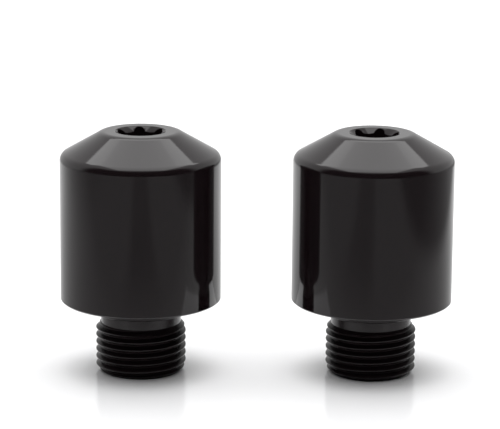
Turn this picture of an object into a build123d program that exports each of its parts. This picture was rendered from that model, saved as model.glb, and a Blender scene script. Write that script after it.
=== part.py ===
"""Pair of threaded handlebar bar ends, standing on their stubs side by side.

Each bar end is a turned aluminium body with a conical nose and a hexagon drive socket, a steel
threaded stud pressed into the body's underside, and a spacer ring pressed onto the stud's pilot.
Millimetres, +Z up. The origin is on the standing surface, midway between the two axes.
"""
import os
from math import ceil, cos, radians, tan

from build123d import *

# body: underside to the corner under the nose cone, then the cone up to the flat nose face
body_diameter = 32.0
body_length = 29.4
body_edge_break = 0.3
shoulder_radius = 1.8
nose_angle = 30.0
nose_face_diameter = 15.5
nose_edge_radius = 2.6

# hexagon drive socket with round corner reliefs, under a countersunk mouth
drive_across_flats = 8.0
drive_depth = 8.0
relief_circle_radius = 1.1
relief_corner_inset = 0.77
mouth_rim = 0.12
mouth_slope = 45.0

# threaded stud: ISO metric fine external thread, plain neck, pilot for the ring, pressed plug
thread_diameter = 18.0
thread_pitch = 1.5
thread_length = 10.1
stud_end_chamfer = 1.1
neck_undercut = 0.08
neck_length = 2.5
pilot_clearance = 0.05
plug_step = 1.05
plug_length = 16.0
plug_lead = 1.0
bore_end_gap = 0.6

# spacer ring between the body and the handlebar's end
ring_width = 1.45
ring_thickness = 2.0
ring_edge_break = 0.2

# the pair: distance between axes, and how each drive socket and thread is turned about its axis
axis_spacing = 46.1
bar_ends = (
    ("left", -axis_spacing / 2, 95.5, 41.0),
    ("right", axis_spacing / 2, 73.0, 238.0),
)

# ISO metric thread form, as shares of the pitch
crest_flat = thread_pitch / 8
thread_depth = 0.6134 * thread_pitch
flank_slope = tan(radians(30.0))
groove_overshoot = 0.1
groove_runout = thread_pitch / 4

# heights and radii that follow from the sizes above
ring_bottom = thread_length + neck_length
underside = ring_bottom + ring_thickness
shoulder_height = underside + body_length
body_radius = body_diameter / 2
nose_face_radius = nose_face_diameter / 2
total_height = shoulder_height + (body_radius - nose_face_radius) * tan(radians(nose_angle))
thread_radius = thread_diameter / 2
neck_radius = thread_radius - thread_depth - neck_undercut
pilot_radius = thread_radius + pilot_clearance
plug_radius = pilot_radius - plug_step
ring_radius = pilot_radius + ring_width
relief_centre_radius = drive_across_flats / 2 / cos(radians(30.0)) - relief_corner_inset
mouth_radius = relief_centre_radius + relief_circle_radius + mouth_rim


def turning_plane(x):
    """Upright plane through the axis at x: its local X is the radius and its local Y the height."""
    return Plane(origin=(x, 0, 0), x_dir=(1, 0, 0), z_dir=(0, -1, 0))


def turning_axis(x):
    """Vertical axis of the bar end at x."""
    return Axis((x, 0, 0), (0, 0, 1))


def level_plane(x, height, turn=0.0):
    """Level plane centred on the axis at x, turned about it by that many degrees."""
    return Plane(origin=(x, 0, height)).rotated((0, 0, turn))


def make_body(x, drive_turn):
    """Turned body: rounded shoulder, conical nose, drive socket above and blind bore below."""
    with BuildPart() as body:
        with BuildSketch(turning_plane(x)):
            with BuildLine():
                outside = FilletPolyline(
                    (body_radius, underside + body_edge_break),
                    (body_radius, shoulder_height),
                    (nose_face_radius, total_height),
                    (0, total_height),
                    radius=[shoulder_radius, nose_edge_radius],
                )
                Polyline(
                    outside @ 1,
                    (0, underside),
                    (body_radius - body_edge_break, underside),
                    outside @ 0,
                )
            make_face()
        revolve(axis=turning_axis(x))

        with BuildSketch(level_plane(x, underside)):
            Circle(plug_radius)
        extrude(amount=plug_length + bore_end_gap, mode=Mode.SUBTRACT)

        with BuildSketch(level_plane(x, total_height, drive_turn)):
            RegularPolygon(radius=drive_across_flats / 2, side_count=6, major_radius=False)
            with PolarLocations(relief_centre_radius, 6):
                Circle(relief_circle_radius)
        extrude(amount=-drive_depth, mode=Mode.SUBTRACT)

        with BuildSketch(turning_plane(x)):
            with BuildLine():
                Polyline(
                    (0, total_height),
                    (mouth_radius, total_height),
                    (0, total_height - mouth_radius * tan(radians(mouth_slope))),
                    close=True,
                )
            make_face()
        revolve(axis=turning_axis(x), mode=Mode.SUBTRACT)
    return body.part


def make_groove_turn():
    """One full right-hand turn of the thread's groove about the Z axis, starting at height 0."""
    root_radius = thread_radius - thread_depth
    mouth_reach = thread_radius + groove_overshoot
    mouth_half = (thread_pitch - crest_flat) / 2 + groove_overshoot * flank_slope
    root_half = (thread_pitch - crest_flat) / 2 - thread_depth * flank_slope
    with BuildPart() as groove_turn:
        with BuildLine():
            groove_path = Helix(pitch=thread_pitch, height=thread_pitch, radius=root_radius)
        with BuildSketch(turning_plane(0)):
            with BuildLine():
                Polyline(
                    (root_radius, -root_half),
                    (mouth_reach, -mouth_half),
                    (mouth_reach, mouth_half),
                    (root_radius, root_half),
                    close=True,
                )
            make_face()
        sweep(path=groove_path, is_frenet=True)
    return groove_turn.part


def make_threaded_stud(x, thread_turn):
    """Stud: right-hand thread, neck, pilot under the body, and plug in the body's bore.

    The thread's groove crosses the end face at thread_turn degrees about the axis. It is cut one
    turn at a time, from below the end face up to where it has run out into the neck.
    """
    groove_turn = make_groove_turn()
    groove_end = thread_length + groove_runout
    turn_count = ceil(groove_end / thread_pitch) + 1
    groove_start = groove_end - turn_count * thread_pitch
    start_turn = thread_turn + 360 * groove_start / thread_pitch

    with BuildPart() as stud:
        with BuildSketch(turning_plane(x)):
            with BuildLine():
                Polyline(
                    (0, 0),
                    (thread_radius - stud_end_chamfer, 0),
                    (thread_radius, stud_end_chamfer),
                    (thread_radius, thread_length - (thread_radius - neck_radius)),
                    (neck_radius, thread_length),
                    (neck_radius, ring_bottom),
                    (pilot_radius, ring_bottom),
                    (pilot_radius, underside),
                    (plug_radius, underside),
                    (plug_radius, underside + plug_length - plug_lead),
                    (plug_radius - plug_lead, underside + plug_length),
                    (0, underside + plug_length),
                    close=True,
                )
            make_face()
        revolve(axis=turning_axis(x))

        turn_places = [(x, 0, groove_start + turn * thread_pitch) for turn in range(turn_count)]
        with Locations(*turn_places):
            add(groove_turn, rotation=(0, 0, start_turn), mode=Mode.SUBTRACT)
    return stud.part


def make_spacer_ring(x):
    """Flat ring on the stud's pilot, with its outer edges broken."""
    with BuildPart() as ring:
        with BuildSketch(level_plane(x, ring_bottom)):
            Circle(ring_radius)
            Circle(pilot_radius, mode=Mode.SUBTRACT)
        extrude(amount=ring_thickness)
        outer_edges = ring.edges().filter_by(GeomType.CIRCLE).sort_by(SortBy.RADIUS)[-2:]
        chamfer(outer_edges, ring_edge_break)
    return ring.part


def write_piece(piece, name):
    """Labels one finished piece and writes it as its own STEP file."""
    piece.label = name
    export_step(piece, f"parts/{name}.step")


os.makedirs("parts", exist_ok=True)
for side, axis_x, socket_turn, helix_turn in bar_ends:
    write_piece(make_body(axis_x, socket_turn), f"{side}_body")
    write_piece(make_threaded_stud(axis_x, helix_turn), f"{side}_threaded_stud")
    write_piece(make_spacer_ring(axis_x), f"{side}_spacer_ring")
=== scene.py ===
"""Studio scene of a pair of threaded handlebar bar ends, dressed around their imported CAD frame.

Each bar end is three turned pieces: an anodised weight, a black steel stud and a spacer ring.
The pieces' own sizes are in millimetres, and everything Blender holds is in metres.
"""
import logging
import math
from collections.abc import Sequence
from dataclasses import dataclass, replace
from enum import Enum

import bmesh
import bpy
from mathutils import Euler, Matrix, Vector


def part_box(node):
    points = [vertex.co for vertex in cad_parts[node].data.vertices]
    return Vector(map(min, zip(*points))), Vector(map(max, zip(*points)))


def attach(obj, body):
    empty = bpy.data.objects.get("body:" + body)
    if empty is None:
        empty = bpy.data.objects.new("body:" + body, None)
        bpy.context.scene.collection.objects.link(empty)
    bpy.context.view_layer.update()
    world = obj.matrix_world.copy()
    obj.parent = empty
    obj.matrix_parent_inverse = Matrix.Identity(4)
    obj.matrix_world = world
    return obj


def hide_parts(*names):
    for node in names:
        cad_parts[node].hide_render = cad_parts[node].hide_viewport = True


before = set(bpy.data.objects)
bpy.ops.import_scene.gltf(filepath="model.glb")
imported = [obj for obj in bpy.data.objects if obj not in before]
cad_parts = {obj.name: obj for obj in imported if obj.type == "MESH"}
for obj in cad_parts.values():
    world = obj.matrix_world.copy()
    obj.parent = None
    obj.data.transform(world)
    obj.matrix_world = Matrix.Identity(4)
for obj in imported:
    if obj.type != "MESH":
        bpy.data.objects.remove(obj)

LOG = logging.getLogger("bar_ends")
MM = 0.001
SHARP_ANGLE = math.radians(35.0)
WELD_DISTANCE = 1e-4
SMALL_ANGLE = 1e-6
SMALL_HEIGHT = 1e-9
Point = tuple[float, float]

# ISO metric thread, as shares of the pitch, and the slope of its flanks
THREAD_DEPTH_SHARE = 0.6134
CREST_FLAT_SHARE = 0.125
FLANK_ANGLE = math.radians(30.0)


class Side(Enum):
    """The two bar ends of the pair."""

    LEFT = "left"
    RIGHT = "right"

    @property
    def rigid_body(self) -> str:
        """Name of the moving body that carries this bar end."""
        return f"{self.value}_bar_end"

    def node(self, part: str) -> str:
        """Name of this side's CAD node for a part, such as body."""
        return f"{self.value}_{part}"

    def axis_x(self) -> float:
        """Distance of this side's turning axis from the middle of the pair, in millimetres."""
        low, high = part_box(self.node("body"))
        return (low.x + high.x) / 2 / MM


# ---------------------------------------------------------------------------------------------
# Turned outlines and meshes
# ---------------------------------------------------------------------------------------------


@dataclass(frozen=True)
class Corner:
    """One corner of a turned piece's half outline, and how far it is rounded."""

    radius: float
    height: float
    rounding: float = 0.0


def rounded_outline(corners: Sequence[Corner], longest: float = 4.0) -> list[Point]:
    """Draws a half outline through corners, each rounded by an arc.

    Args:
        corners: the corners in order; the first and last are kept as they are.
        longest: straight stretches longer than this many millimetres are divided evenly.

    Returns:
        The outline's (radius, height) points. A point close beside each arc holds the flats flat.
    """
    hold = 0.06
    arc_step = math.radians(10.0)
    stretches: list[list[Vector]] = []
    start = Vector((corners[0].radius, corners[0].height))
    arcs: list[list[Vector]] = [[start]]
    for before, corner, after in zip(corners, corners[1:], corners[2:]):
        here = Vector((corner.radius, corner.height))
        back = (Vector((before.radius, before.height)) - here).normalized()
        ahead = (Vector((after.radius, after.height)) - here).normalized()
        turn = math.pi - back.angle(ahead)
        if corner.rounding == 0.0 or turn < SMALL_ANGLE:
            arcs.append([here])
            continue
        reach = corner.rounding * math.tan(turn / 2)
        middle = here + (back + ahead).normalized() * (corner.rounding / math.cos(turn / 2))
        first, last = here + back * reach, here + ahead * reach
        steps = max(2, math.ceil(turn / arc_step))
        spoke_a, spoke_b = first - middle, last - middle
        arc = []
        for step in range(steps + 1):
            share = step / steps
            blend_a = math.sin((1 - share) * turn) / math.sin(turn)
            blend_b = math.sin(share * turn) / math.sin(turn)
            arc.append(middle + spoke_a * blend_a + spoke_b * blend_b)
        arcs.append(arc)
    arcs.append([Vector((corners[-1].radius, corners[-1].height))])
    points = list(arcs[0])
    for arc in arcs[1:]:
        span = arc[0] - points[-1]
        length = span.length
        origin = points[-1].copy()
        if length > 3 * hold:
            inner = max(1, math.ceil((length - 2 * hold) / longest))
            places = [hold + (length - 2 * hold) * n / inner for n in range(inner + 1)]
            points += [origin + span * (place / length) for place in places]
        points += arc
    return [(point.x, point.y) for point in points]


class TurnedMesh:
    """A mesh made of grids of points about an upright axis, joined where they meet."""

    def __init__(self, axis_x: float, azimuths: Sequence[float]) -> None:
        """Starts an empty mesh.

        Args:
            axis_x: place of the turning axis, in millimetres.
            azimuths: the columns' directions about the axis, in degrees, once round.
        """
        self.axis_x = axis_x
        self.azimuths = list(azimuths)
        self.shape = bmesh.new()

    def add_grid(self, rows: Sequence[Sequence[Point]], rows_per_turn: int = 0) -> None:
        """Adds a grid that closes on itself round the axis.

        Args:
            rows: for each row, one (radius, height) point per column.
            rows_per_turn: how many rows up a row comes back after a turn, for a helix.
        """
        columns = len(self.azimuths)
        directions = [(math.cos(math.radians(a)), math.sin(math.radians(a))) for a in self.azimuths]
        verts = [
            [
                self.shape.verts.new((self.axis_x + radius * east, radius * north, height))
                for (radius, height), (east, north) in zip(row, directions)
            ]
            for row in rows
        ]
        for low in range(len(rows) - 1):
            for column in range(columns):
                following = (column + 1) % columns
                rise = rows_per_turn if following == 0 else 0
                if not 0 <= low + rise < len(rows) - 1:
                    continue
                self.shape.faces.new((
                    verts[low][column],
                    verts[low + rise][following],
                    verts[low + rise + 1][following],
                    verts[low + 1][column],
                ))

    def add_lathe(self, outline: Sequence[Point]) -> None:
        """Adds a plain turned surface with the same outline all the way round."""
        self.add_grid([[point] * len(self.azimuths) for point in outline])

    def make_object(self, name: str) -> bpy.types.Object:
        """Welds the grids into one smooth-shaded object with crisp edges, in metres.

        Args:
            name: name of the new object.

        Returns:
            The object, linked to the scene.
        """
        bmesh.ops.remove_doubles(self.shape, verts=self.shape.verts[:], dist=WELD_DISTANCE)
        bmesh.ops.dissolve_degenerate(self.shape, dist=WELD_DISTANCE, edges=self.shape.edges[:])
        bmesh.ops.recalc_face_normals(self.shape, faces=self.shape.faces[:])
        bmesh.ops.scale(self.shape, vec=(MM, MM, MM), verts=self.shape.verts[:])
        for face in self.shape.faces:
            face.smooth = True
        mesh = bpy.data.meshes.new(name)
        self.shape.to_mesh(mesh)
        self.shape.free()
        mesh.set_sharp_from_angle(angle=SHARP_ANGLE)
        piece = bpy.data.objects.new(name, mesh)
        bpy.context.scene.collection.objects.link(piece)
        return piece


# ---------------------------------------------------------------------------------------------
# Finishes
# ---------------------------------------------------------------------------------------------


def linear_colour(hex_colour: str) -> tuple[float, float, float, float]:
    """Turns an sRGB hex colour such as #1a2b3c into linear red, green, blue and alpha."""
    channels = [int(hex_colour[i:i + 2], 16) / 255 for i in (1, 3, 5)]
    linear = [c / 12.92 if c <= 0.04045 else ((c + 0.055) / 1.055) ** 2.4 for c in channels]
    return (linear[0], linear[1], linear[2], 1.0)


def add_node(
    tree: bpy.types.NodeTree, kind: str, inputs: dict | None = None, **settings,
) -> bpy.types.Node:
    """Adds one node to a node tree.

    Args:
        tree: the material's or world's node tree.
        kind: Blender's name of the node type.
        inputs: for each input's name or number, a value or the output socket linked to it.
        settings: the node's own settings.

    Returns:
        The new node.
    """
    node = tree.nodes.new(kind)
    for name, value in settings.items():
        setattr(node, name, value)
    for name, value in (inputs or {}).items():
        if isinstance(value, bpy.types.NodeSocket):
            tree.links.new(value, node.inputs[name])
        else:
            node.inputs[name].default_value = value
    return node


@dataclass(frozen=True)
class TurnedBlackFinish:
    """A black finish on turned metal: a thin clear-topped dark layer over fine turning marks.

    The layer mirrors the studio like dark glass, a little blurred, and the marks run round the
    axis and break up each reflection slightly along the piece.
    """

    name: str
    colour: str
    tint: str
    ior: float
    roughness: float
    roughness_spread: float
    feed: float
    mark_depth: float
    waviness: float
    wave_depth: float
    gloss: float = 0.5
    grain: float = 0.35

    def material(self, side: Side) -> bpy.types.Material:
        """Makes the finish for one bar end, with its marks centred on that bar end's axis.

        Args:
            side: the bar end whose turning axis the marks run round.

        Returns:
            The material.
        """
        material = bpy.data.materials.new(f"{self.name}_{side.value}")
        material.use_nodes = True
        tree = material.node_tree
        tree.nodes.clear()

        # distance from the turning axis and height, so that every pattern runs round the piece
        place = add_node(tree, "ShaderNodeTexCoord")
        centred = add_node(tree, "ShaderNodeVectorMath", {
            0: place.outputs["Object"], 1: (side.axis_x() * MM, 0.0, 0.0),
        }, operation="SUBTRACT")
        flat = add_node(tree, "ShaderNodeVectorMath", {
            0: centred.outputs[0], 1: (1.0, 1.0, 0.0),
        }, operation="MULTIPLY")
        outward = add_node(tree, "ShaderNodeVectorMath", {0: flat.outputs[0]}, operation="LENGTH")
        upward = add_node(tree, "ShaderNodeSeparateXYZ", {0: place.outputs["Object"]})
        turned = add_node(tree, "ShaderNodeCombineXYZ", {
            0: outward.outputs["Value"], 1: upward.outputs["Z"],
        })

        # marks of the turning tool, and the longer waves left by its spring
        marks = add_node(tree, "ShaderNodeTexNoise", {
            "Vector": turned.outputs[0], "Scale": 1.0 / (self.feed * MM),
            "Detail": 2.0, "Roughness": 0.6,
        }, noise_dimensions="2D")
        waves = add_node(tree, "ShaderNodeTexNoise", {
            "Vector": turned.outputs[0], "Scale": 1.0 / (self.waviness * MM),
            "Detail": 1.0, "Roughness": 0.5,
        }, noise_dimensions="2D")

        # grain of the etched layer, seen as a faint change of colour and gloss
        grain = add_node(tree, "ShaderNodeTexNoise", {
            "Vector": place.outputs["Object"], "Scale": 1.0 / (self.grain * MM),
            "Detail": 3.0, "Roughness": 0.6,
        })
        colour = add_node(tree, "ShaderNodeMix", {
            "Factor": grain.outputs["Fac"],
            6: linear_colour(self.colour), 7: linear_colour(self.tint),
        }, data_type="RGBA")
        roughness = add_node(tree, "ShaderNodeMapRange", {
            "Value": marks.outputs["Fac"],
            "To Min": self.roughness - self.roughness_spread / 2,
            "To Max": self.roughness + self.roughness_spread / 2,
        })
        wave_bump = add_node(tree, "ShaderNodeBump", {
            "Height": waves.outputs["Fac"], "Strength": 1.0, "Distance": self.wave_depth * MM,
        })
        mark_bump = add_node(tree, "ShaderNodeBump", {
            "Height": marks.outputs["Fac"], "Strength": 1.0, "Distance": self.mark_depth * MM,
            "Normal": wave_bump.outputs[0],
        })

        surface = add_node(tree, "ShaderNodeBsdfPrincipled", {
            "Base Color": colour.outputs[2], "Roughness": roughness.outputs[0],
            "Normal": mark_bump.outputs[0], "Metallic": 0.0, "IOR": self.ior,
            "Specular IOR Level": self.gloss,
        })
        add_node(tree, "ShaderNodeOutputMaterial", {"Surface": surface.outputs[0]})
        return material


# Black anodised aluminium, turned: dyed oxide is deep black with a glass-like top, so it mirrors
# the studio sharply and only its dye gives a faint warm brown where light falls on it.
# The tool's real feed is about 0.08 mm a turn; it is drawn at 0.25 mm so that it shows.
ANODISED = TurnedBlackFinish(
    name="black_anodised_aluminium_turned", colour="#120c0e", tint="#171012",
    ior=1.5, roughness=0.085, roughness_spread=0.03, feed=0.25, mark_depth=0.0004,
    waviness=2.4, wave_depth=0.0006,
)

# Black oxide on turned steel, oiled: a thin magnetite layer, blacker and less even than anodising,
# with an oil film that gives the neck a satin sheen and each crest a narrow soft highlight.
# The tool's real feed is about 0.08 mm a turn; it is drawn at 0.3 mm so that it shows.
BLACK_OXIDE = TurnedBlackFinish(
    name="black_oxide_steel_oiled", colour="#1a1416", tint="#20181a",
    ior=1.42, roughness=0.24, roughness_spread=0.08, feed=0.3, mark_depth=0.0006,
    waviness=1.6, wave_depth=0.0006,
)

# The same black oxide on the thread's flanks and roots, with a much weaker reflection: painted
# shade that keeps the recesses between the crests dull and nearly black beside the bright crests.
# painted shade: the thread's recesses mirror the studio far more weakly than the crests
PAINTED_SHADE_THREAD_OXIDE = replace(BLACK_OXIDE, name="black_oxide_steel_painted_root_shade", gloss=0.12)


@dataclass(frozen=True)
class AcrylicFinish:
    """Polished white acrylic: an even white with a soft mirror image of what stands on it."""

    name: str = "white_acrylic_sheet"
    colour: str = "#ededee"
    ior: float = 1.49
    roughness: float = 0.10
    roughness_spread: float = 0.02
    patch: float = 60.0

    def material(self) -> bpy.types.Material:
        """Makes the sheet's material, with a faint unevenness of gloss."""
        material = bpy.data.materials.new(self.name)
        material.use_nodes = True
        tree = material.node_tree
        tree.nodes.clear()
        place = add_node(tree, "ShaderNodeTexCoord")
        unevenness = add_node(tree, "ShaderNodeTexNoise", {
            "Vector": place.outputs["Object"], "Scale": 1.0 / (self.patch * MM), "Detail": 2.0,
        })
        roughness = add_node(tree, "ShaderNodeMapRange", {
            "Value": unevenness.outputs["Fac"],
            "To Min": self.roughness - self.roughness_spread / 2,
            "To Max": self.roughness + self.roughness_spread / 2,
        })
        surface = add_node(tree, "ShaderNodeBsdfPrincipled", {
            "Base Color": linear_colour(self.colour), "Roughness": roughness.outputs[0],
            "IOR": self.ior,
        })
        add_node(tree, "ShaderNodeOutputMaterial", {"Surface": surface.outputs[0]})
        return material


# ---------------------------------------------------------------------------------------------
# The three turned pieces of a bar end
# ---------------------------------------------------------------------------------------------


@dataclass
class BarEndPiece:
    """What every piece of a bar end shares: its side, its CAD node and how it is dressed."""

    side: Side

    def corner_heights(self, part: str) -> tuple[float, float, float]:
        """Radius, lowest and highest point of a CAD node of this side, in millimetres."""
        low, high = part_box(self.side.node(part))
        return (high.x - low.x) / 2 / MM, low.z / MM, high.z / MM

    def settle(
        self, piece: bpy.types.Object, finish: TurnedBlackFinish, part: str, slot: str,
    ) -> None:
        """Dresses a finished piece and puts it in its CAD node's place.

        Args:
            piece: the finished object.
            finish: what it is made of.
            part: the part of the bar end that it stands for.
            slot: not used.
        """
        piece.data.materials.append(finish.material(self.side))
        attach(piece, self.side.rigid_body)
        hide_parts(self.side.node(part))
        LOG.info("%s: %d faces", piece.name, len(piece.data.polygons))


@dataclass
class TurnedWeight(BarEndPiece):
    """The anodised weight: cylinder, rounded shoulder, conical nose and hexagon drive socket."""

    drive_turn: float
    shoulder_rounding: float = 1.8
    nose_angle: float = 30.0
    nose_face_radius: float = 7.75
    nose_edge_rounding: float = 2.6
    foot_chamfer: float = 0.3
    edge_rounding: float = 0.08
    mouth_rounding: float = 0.15
    mouth_rim: float = 0.12
    mouth_slope: float = 45.0
    drive_across_flats: float = 8.0
    drive_depth: float = 8.0
    relief_radius: float = 1.1
    relief_inset: float = 0.77
    mouth_sink: float = 0.15
    lip_edge: float = 0.04
    plug_step: float = 1.05
    plug_gap: float = 0.6
    relief_columns: int = 22
    flat_columns: int = 30

    @property
    def relief_centre(self) -> float:
        """Distance of each corner relief's centre from the axis."""
        return self.drive_across_flats / 2 / math.cos(math.pi / 6) - self.relief_inset

    @property
    def relief_reach(self) -> float:
        """Angle from a socket corner to where its relief runs out into the flat, in degrees."""
        apothem = self.drive_across_flats / 2
        off_flat = self.relief_inset * math.sin(math.pi / 3)
        along = math.sqrt(self.relief_radius**2 - off_flat**2)
        from_middle = self.relief_centre * math.sin(math.pi / 6) - along
        return 30.0 - math.degrees(math.atan2(from_middle, apothem))

    def socket_radius(self, azimuth: float) -> float:
        """Distance from the axis to the socket's wall, in the direction azimuth in degrees."""
        from_corner = (azimuth - self.drive_turn + 30.0) % 60.0 - 30.0
        if abs(from_corner) > self.relief_reach - SMALL_ANGLE:
            return self.drive_across_flats / 2 / math.cos(math.radians(30.0 - abs(from_corner)))
        aside = self.relief_centre * math.sin(math.radians(from_corner))
        ahead = self.relief_centre * math.cos(math.radians(from_corner))
        return ahead + math.sqrt(self.relief_radius**2 - aside**2)

    def azimuths(self) -> list[float]:
        """Columns' directions, with one on each line where a relief meets a flat."""
        reach = self.relief_reach
        gap = 60.0 - 2 * reach
        directions = []
        for corner in range(6):
            start = self.drive_turn + 60.0 * corner
            for n in range(self.relief_columns):
                directions.append(start - reach + 2 * reach * n / self.relief_columns)
            for n in range(self.flat_columns):
                directions.append(start + reach + gap * n / self.flat_columns)
        return directions

    def build(self) -> bpy.types.Object:
        """Builds the weight as one closed mesh, from the blind bore round to the socket's floor."""
        radius, foot, top = self.corner_heights("body")
        plug_radius, bore_top = self.plug_space()
        mouth_radius = self.relief_centre + self.relief_radius + self.mouth_rim
        shoulder = top - (radius - self.nose_face_radius) * math.tan(math.radians(self.nose_angle))
        slope = math.tan(math.radians(self.mouth_slope))
        sink, edge = self.mouth_sink, self.lip_edge
        outline = rounded_outline([
            Corner(0.0, bore_top),
            Corner(plug_radius, bore_top),
            Corner(plug_radius, foot),
            Corner(radius - self.foot_chamfer, foot, self.edge_rounding),
            Corner(radius, foot + self.foot_chamfer, self.edge_rounding),
            Corner(radius, shoulder, self.shoulder_rounding),
            Corner(self.nose_face_radius, top, self.nose_edge_rounding),
            Corner(mouth_radius, top, self.mouth_rounding),
            Corner(mouth_radius - sink, top - sink * slope),
        ])
        mesh = TurnedMesh(self.side.axis_x(), self.azimuths())
        mesh.add_lathe(outline)

        walls = [self.socket_radius(azimuth) for azimuth in self.azimuths()]
        lips = [top - (mouth_radius - wall) * slope for wall in walls]
        floor = top - self.drive_depth
        rows = [
            [(mouth_radius - sink, top - sink * slope)] * len(walls),
            [(wall + edge, lip + edge * slope) for wall, lip in zip(walls, lips)],
            [(wall + edge / 4, lip - edge / 4) for wall, lip in zip(walls, lips)],
            [(wall, lip - edge) for wall, lip in zip(walls, lips)],
            [(wall, lip - 3 * edge) for wall, lip in zip(walls, lips)],
            [(wall, floor + 3 * edge) for wall in walls],
            [(wall, floor) for wall in walls],
            [(wall - 3 * edge, floor) for wall in walls],
            [(0.0, floor)] * len(walls),
        ]
        mesh.add_grid(rows)
        return mesh.make_object(f"{self.side.value}_weight")

    def plug_space(self) -> tuple[float, float]:
        """Radius of the blind bore and the height of its end, from the plug it holds."""
        pilot_radius, _, plug_top = self.corner_heights("threaded_stud")
        return pilot_radius - self.plug_step, plug_top + self.plug_gap

    def make(self) -> None:
        """Builds the weight and dresses it in black anodising."""
        self.settle(self.build(), ANODISED, "body", "black_anodised_body")


@dataclass
class ThreadedStud(BarEndPiece):
    """The steel stud: right-hand metric thread, neck, pilot and pressed plug."""

    thread_turn: float
    pitch: float = 1.5
    thread_radius: float = 9.0
    thread_length: float = 10.1
    end_chamfer: float = 1.1
    neck_undercut: float = 0.08
    plug_step: float = 1.05
    plug_lead: float = 1.0
    crest_rounding: float = 0.15
    root_rounding: float = 0.21
    crest_depth: float = 0.06
    row_spacing: float = 0.12
    end_rim: float = 0.12
    columns: int = 216

    @property
    def root_radius(self) -> float:
        """Radius at the bottom of the thread's groove."""
        return self.thread_radius - THREAD_DEPTH_SHARE * self.pitch

    def thread_form(self) -> list[Point]:
        """One pitch of the thread's outline, from the middle of one groove to the next.

        Returns:
            (radius, height) points, with height counted from the middle of the groove.
        """
        flank_rise = (self.thread_radius - self.root_radius) * math.tan(FLANK_ANGLE)
        crest_half = self.pitch * CREST_FLAT_SHARE / 2
        root_half = self.pitch / 2 - crest_half - flank_rise
        return rounded_outline([
            Corner(self.root_radius, 0.0),
            Corner(self.root_radius, root_half, self.root_rounding),
            Corner(self.thread_radius, root_half + flank_rise, self.crest_rounding),
            Corner(self.thread_radius, self.pitch - root_half - flank_rise, self.crest_rounding),
            Corner(self.root_radius, self.pitch - root_half, self.root_rounding),
            Corner(self.root_radius, self.pitch),
        ], longest=self.row_spacing)

    def thread_rows(
        self, azimuths: Sequence[float], neck_radius: float,
    ) -> tuple[list[list[Point]], int]:
        """Rows that follow the helix, cut off level at the end face and at the neck.

        Args:
            azimuths: the columns' directions, in degrees.
            neck_radius: radius of the neck that the thread runs out to.

        Returns:
            The rows, and how many of them make one turn.
        """
        form = self.thread_form()[:-1]
        heights = [height for _, height in form] + [self.pitch]
        radii = [radius for radius, _ in form] + [self.root_radius]

        def radius_at(height: float, rise: float) -> float:
            """Thread's radius at a height, on a column whose groove is raised by rise."""
            along = (height - rise) % self.pitch
            after = next(n for n, mark in enumerate(heights) if mark >= along - SMALL_HEIGHT)
            before = max(after - 1, 0)
            span = heights[after] - heights[before] or 1.0
            share = (along - heights[before]) / span
            formed = radii[before] + (radii[after] - radii[before]) * share
            chamfered = self.thread_radius - self.end_chamfer + height
            run_out = neck_radius + self.thread_length - height
            return min(formed, chamfered, run_out)

        turns = math.ceil(self.thread_length / self.pitch) + 2
        rises = [self.pitch * ((azimuth - self.thread_turn) / 360.0) for azimuth in azimuths]
        rows = []
        for turn in range(-1, turns):
            for _, offset in form:
                row = []
                for rise in rises:
                    height = min(max(turn * self.pitch + rise + offset, 0.0), self.thread_length)
                    row.append((radius_at(height, rise), height))
                rows.append(row)
        return rows, len(form)

    def build(self) -> bpy.types.Object:
        """Builds the stud as one closed mesh, from its end face up to the top of its plug."""
        pilot_radius, _, plug_top = self.corner_heights("threaded_stud")
        _, ring_bottom, ring_top = self.corner_heights("spacer_ring")
        neck_radius = self.root_radius - self.neck_undercut
        plug_radius = pilot_radius - self.plug_step
        azimuths = [self.thread_turn + 360.0 * n / self.columns for n in range(self.columns)]
        mesh = TurnedMesh(self.side.axis_x(), azimuths)
        rows, rows_per_turn = self.thread_rows(azimuths, neck_radius)
        mesh.add_grid(rows, rows_per_turn)
        edge = rows[0]
        mesh.add_grid([
            [(0.0, 0.0)] * self.columns,
            [(self.root_radius / 2, 0.0)] * self.columns,
            [(radius - self.end_rim, 0.0) for radius, _ in edge],
            edge,
        ])
        mesh.add_lathe(rounded_outline([
            Corner(neck_radius, self.thread_length),
            Corner(neck_radius, ring_bottom),
            Corner(pilot_radius, ring_bottom),
            Corner(pilot_radius, ring_top),
            Corner(plug_radius, ring_top),
            Corner(plug_radius, plug_top - self.plug_lead),
            Corner(plug_radius - self.plug_lead, plug_top),
            Corner(0.0, plug_top),
        ]))
        return mesh.make_object(f"{self.side.value}_stud")

    def make(self) -> None:
        """Builds the stud and dresses it in black oxide, with painted shade on the thread's flanks
        and roots.
        """
        stud = self.build()
        self.settle(stud, BLACK_OXIDE, "threaded_stud", "black_oxide_stud")
        painted_shade_index = len(stud.data.materials)
        stud.data.materials.append(PAINTED_SHADE_THREAD_OXIDE.material(self.side))
        axis_x, thread_top = self.side.axis_x() * MM, self.thread_length * MM
        crest_foot = (self.thread_radius - self.crest_depth) * MM
        # faces of the thread below its crests get the painted shade material
        for face in stud.data.polygons:
            across, along, height = face.center
            if 0.0 < height < thread_top and math.hypot(across - axis_x, along) < crest_foot:
                face.material_index = painted_shade_index


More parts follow.
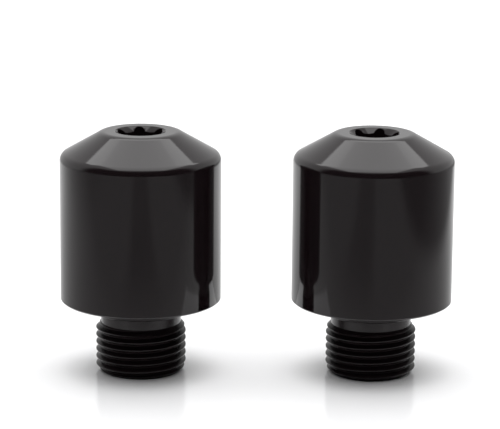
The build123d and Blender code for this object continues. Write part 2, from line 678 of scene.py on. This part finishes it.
@dataclass
class SpacerRing(BarEndPiece):
    """The flat anodised ring between the weight and the handlebar's end."""

    edge_break: float = 0.2
    edge_rounding: float = 0.05
    columns: int = 192

    def build(self) -> bpy.types.Object:
        """Builds the ring as one closed mesh with its four broken edges."""
        radius, bottom, top = self.corner_heights("spacer_ring")
        bore_radius, _, _ = self.corner_heights("threaded_stud")
        middle = (bottom + top) / 2
        outline = rounded_outline([
            Corner(bore_radius, middle),
            Corner(bore_radius, bottom),
            Corner(radius - self.edge_break, bottom, self.edge_rounding),
            Corner(radius, bottom + self.edge_break, self.edge_rounding),
            Corner(radius, top - self.edge_break, self.edge_rounding),
            Corner(radius - self.edge_break, top, self.edge_rounding),
            Corner(bore_radius, top),
            Corner(bore_radius, middle),
        ])
        azimuths = [360.0 * n / self.columns for n in range(self.columns)]
        mesh = TurnedMesh(self.side.axis_x(), azimuths)
        mesh.add_lathe(outline)
        return mesh.make_object(f"{self.side.value}_ring")

    def make(self) -> None:
        """Builds the ring and dresses it in black anodising."""
        self.settle(self.build(), ANODISED, "spacer_ring", "black_anodised_ring")


@dataclass
class BarEnd:
    """One whole bar end: weight, stud and ring."""

    side: Side
    drive_turn: float
    thread_turn: float

    def make(self) -> None:
        """Builds and dresses the bar end's three pieces."""
        TurnedWeight(self.side, self.drive_turn).make()
        ThreadedStud(self.side, self.thread_turn).make()
        SpacerRing(self.side).make()


# ---------------------------------------------------------------------------------------------
# Studio
# ---------------------------------------------------------------------------------------------


@dataclass(frozen=True)
class Softbox:
    """A rectangular soft light that hangs over the table and faces it."""

    name: str
    place: tuple[float, float, float]
    width: float
    depth: float
    radiance: float
    mirrored: bool = True

    def hang(self) -> None:
        """Puts the light in the scene, facing straight down. Sizes are in metres."""
        light = bpy.data.lights.new(self.name, "AREA")
        light.shape = "RECTANGLE"
        light.size, light.size_y = self.width, self.depth
        light.energy = self.radiance * math.pi * self.width * self.depth
        lamp = bpy.data.objects.new(self.name, light)
        lamp.location = self.place
        lamp.visible_camera = False
        lamp.visible_glossy = self.mirrored
        bpy.context.scene.collection.objects.link(lamp)


@dataclass(frozen=True)
class TableGlow:
    """How bright the table looks from the bar ends, laid out as a sheet that only mirrors see.

    The lit middle of the table falls off to the front, to both sides and towards the camera
    stand, which the polished black pieces mirror. Lengths are in metres.
    """

    hole_half_width: float = 0.055
    hole_half_depth: float = 0.038
    reach: float = 1.5
    lift: float = 0.0002
    front_radiance: float = 0.40
    back_radiance: float = 1.15
    front_line: float = -0.07
    back_line: float = 0.13
    stand_middle: float = -0.015
    stand_half_width: float = 0.035
    stand_shade: float = 0.34
    stand_softness: float = 0.4
    stand_foot: float = -0.05
    stand_far: float = -0.12

    # where the lit middle ends: axis, from, to, and the share of the glow at each
    falls: tuple[tuple[str, float, float, float, float], ...] = (
        ("X", 0.12, 0.16, 1.0, 0.38),
        ("X", -0.28, -0.14, 0.6, 1.0),
        ("Y", -0.34, -0.27, 0.15, 1.0),
    )

    def lay(self) -> None:
        """Lays the sheet round the bar ends, with a hole where they stand."""
        inner_x, inner_y, outer = self.hole_half_width, self.hole_half_depth, self.reach
        corners = [(-1, -1), (1, -1), (1, 1), (-1, 1)]
        verts = [(x * inner_x, y * inner_y, self.lift) for x, y in corners]
        verts += [(x * outer, y * outer, self.lift) for x, y in corners]
        faces = [(n, n + 4, (n + 1) % 4 + 4, (n + 1) % 4) for n in range(4)]
        mesh = bpy.data.meshes.new("table_glow")
        mesh.from_pydata(verts, [], faces)
        mesh.materials.append(self.material())
        sheet = bpy.data.objects.new("table_glow", mesh)
        bpy.context.scene.collection.objects.link(sheet)
        sheet.visible_camera = sheet.visible_diffuse = sheet.visible_shadow = False
        sheet.visible_transmission = sheet.visible_volume_scatter = False

    def material(self) -> bpy.types.Material:
        """Makes the sheet's glow, dimmer to the front and sides and where the stand is."""
        material = bpy.data.materials.new("table_glow_painted_reflection")
        material.use_nodes = True
        tree = material.node_tree
        tree.nodes.clear()
        place = add_node(tree, "ShaderNodeTexCoord")
        axes = add_node(tree, "ShaderNodeSeparateXYZ", {0: place.outputs["Object"]})
        glow = add_node(tree, "ShaderNodeMapRange", {
            "Value": axes.outputs["Y"], "From Min": self.front_line, "From Max": self.back_line,
            "To Min": self.front_radiance, "To Max": self.back_radiance,
        }).outputs[0]
        middle, half = self.stand_middle, self.stand_half_width
        soft = self.stand_softness * half
        left = add_node(tree, "ShaderNodeMapRange", {
            "Value": axes.outputs["X"], "From Min": middle - half - soft,
            "From Max": middle - half + soft,
        }, interpolation_type="SMOOTHSTEP")
        right = add_node(tree, "ShaderNodeMapRange", {
            "Value": axes.outputs["X"], "From Min": middle + half + soft,
            "From Max": middle + half - soft,
        }, interpolation_type="SMOOTHSTEP")
        ahead = add_node(tree, "ShaderNodeMapRange", {
            "Value": axes.outputs["Y"], "From Min": self.stand_foot, "From Max": self.stand_far,
            "To Max": self.stand_shade,
        }, interpolation_type="SMOOTHSTEP")
        within = add_node(tree, "ShaderNodeMath", {
            0: left.outputs[0], 1: right.outputs[0],
        }, operation="MULTIPLY")
        shade = add_node(tree, "ShaderNodeMath", {
            0: within.outputs[0], 1: ahead.outputs[0],
        }, operation="MULTIPLY")
        rest = add_node(tree, "ShaderNodeMath", {0: 1.0, 1: shade.outputs[0]}, operation="SUBTRACT")
        glow = add_node(tree, "ShaderNodeMath", {0: glow, 1: rest.outputs[0]}, operation="MULTIPLY")
        for axis, start, end, low, high in self.falls:
            fall = add_node(tree, "ShaderNodeMapRange", {
                "Value": axes.outputs[axis], "From Min": start, "From Max": end,
                "To Min": low, "To Max": high,
            }, interpolation_type="SMOOTHSTEP")
            glow = add_node(tree, "ShaderNodeMath", {
                0: glow.outputs[0], 1: fall.outputs[0],
            }, operation="MULTIPLY")
        # painted reflection: the sheet glows though it is no lamp, dimmed as painted shade towards
        # the front, sides and stand
        light = add_node(tree, "ShaderNodeEmission", {
            "Color": (1.0, 1.0, 1.0, 1.0), "Strength": glow.outputs[0],
        })
        add_node(tree, "ShaderNodeOutputMaterial", {"Surface": light.outputs[0]})
        return material


@dataclass
class Studio:
    """White table, light tent, softboxes and camera."""

    table_half: float = 1.5
    back_radiance: float = 0.8
    front_radiance: float = 0.03
    ceiling_radiance: float = 0.9
    wall_front: float = -0.25
    wall_back: float = 0.1
    ceiling_foot: float = 0.7
    ceiling_full: float = 0.85
    look_at: tuple[float, float, float] = (-1.346, 0.0, 31.97)
    distance: float = 482.64
    elevation: float = 13.391
    pan: float = 0.100
    roll: float = 0.469
    lens: float = 174.99
    sensor_width: float = 36.0

    def lay_table(self) -> None:
        """Lays the white acrylic table top at the height the bar ends stand on."""
        half = self.table_half
        mesh = bpy.data.meshes.new("table_top")
        corners = [(-half, -half, 0.0), (half, -half, 0.0), (half, half, 0.0), (-half, half, 0.0)]
        mesh.from_pydata(corners, [], [(0, 1, 2, 3)])
        table = bpy.data.objects.new("table_top", mesh)
        table.data.materials.append(AcrylicFinish().material())
        bpy.context.scene.collection.objects.link(table)

    def pitch_tent(self) -> None:
        """Surrounds the table with a tent: bright behind, dark towards the front, lit above."""
        world = bpy.data.worlds.new("light_tent")
        bpy.context.scene.world = world
        world.use_nodes = True
        tree = world.node_tree
        tree.nodes.clear()
        place = add_node(tree, "ShaderNodeTexCoord")
        direction = add_node(tree, "ShaderNodeSeparateXYZ", {0: place.outputs["Generated"]})
        wall = add_node(tree, "ShaderNodeMapRange", {
            "Value": direction.outputs["Y"],
            "From Min": self.wall_front, "From Max": self.wall_back,
            "To Min": self.front_radiance, "To Max": self.back_radiance,
        }, interpolation_type="SMOOTHSTEP")
        overhead = add_node(tree, "ShaderNodeMapRange", {
            "Value": direction.outputs["Z"],
            "From Min": self.ceiling_foot, "From Max": self.ceiling_full,
        }, interpolation_type="SMOOTHSTEP")
        radiance = add_node(tree, "ShaderNodeMix", {
            "Factor": overhead.outputs[0], "A": wall.outputs[0], "B": self.ceiling_radiance,
        }, data_type="FLOAT")
        sky = add_node(tree, "ShaderNodeBackground", {
            "Color": (1.0, 1.0, 1.0, 1.0), "Strength": radiance.outputs[0],
        })
        add_node(tree, "ShaderNodeOutputWorld", {"Surface": sky.outputs[0]})

    def hang_lights(self) -> None:
        """Hangs the main softbox over the table, a brighter bar behind it, and a wide fill."""
        Softbox("main_softbox", (0.0, 0.0, 0.45), width=0.42, depth=0.40, radiance=1.6).hang()
        Softbox("rear_softbox", (0.0, 0.265, 0.45), width=0.56, depth=0.13, radiance=1.9).hang()
        Softbox(
            "table_fill", (0.0, 0.0, 1.20), width=1.60, depth=1.60, radiance=1.9, mirrored=False,
        ).hang()
        TableGlow().lay()

    def place_camera(self) -> None:
        """Places the camera low in front of the pair, with a long lens."""
        pan, tilt = math.radians(self.pan), math.radians(self.elevation)
        level = math.cos(tilt)
        ahead = Vector((math.sin(pan) * level, math.cos(pan) * level, -math.sin(tilt)))
        data = bpy.data.cameras.new("studio_camera")
        data.lens, data.sensor_width = self.lens, self.sensor_width
        data.clip_start, data.clip_end = 0.01, 10.0
        camera = bpy.data.objects.new("studio_camera", data)
        camera.location = (Vector(self.look_at) - ahead * self.distance) * MM
        facing = ahead.to_track_quat("-Z", "Y")
        rolled = Euler((0.0, 0.0, math.radians(self.roll))).to_quaternion()
        camera.rotation_mode = "QUATERNION"
        camera.rotation_quaternion = facing @ rolled
        bpy.context.scene.collection.objects.link(camera)
        bpy.context.scene.camera = camera

    def set_up(self) -> None:
        """Sets up the whole studio."""
        self.lay_table()
        self.pitch_tent()
        self.hang_lights()
        self.place_camera()
        bpy.context.scene.view_settings.view_transform = "Standard"
        LOG.info("studio is set up")


def main() -> None:
    """Builds both bar ends and the studio."""
    logging.basicConfig(level=logging.INFO, format="%(name)s: %(message)s")
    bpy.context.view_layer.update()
    BarEnd(Side.LEFT, drive_turn=95.5, thread_turn=41.0).make()
    BarEnd(Side.RIGHT, drive_turn=73.0, thread_turn=238.0).make()
    Studio().set_up()


if __name__ == "__main__":
    main()
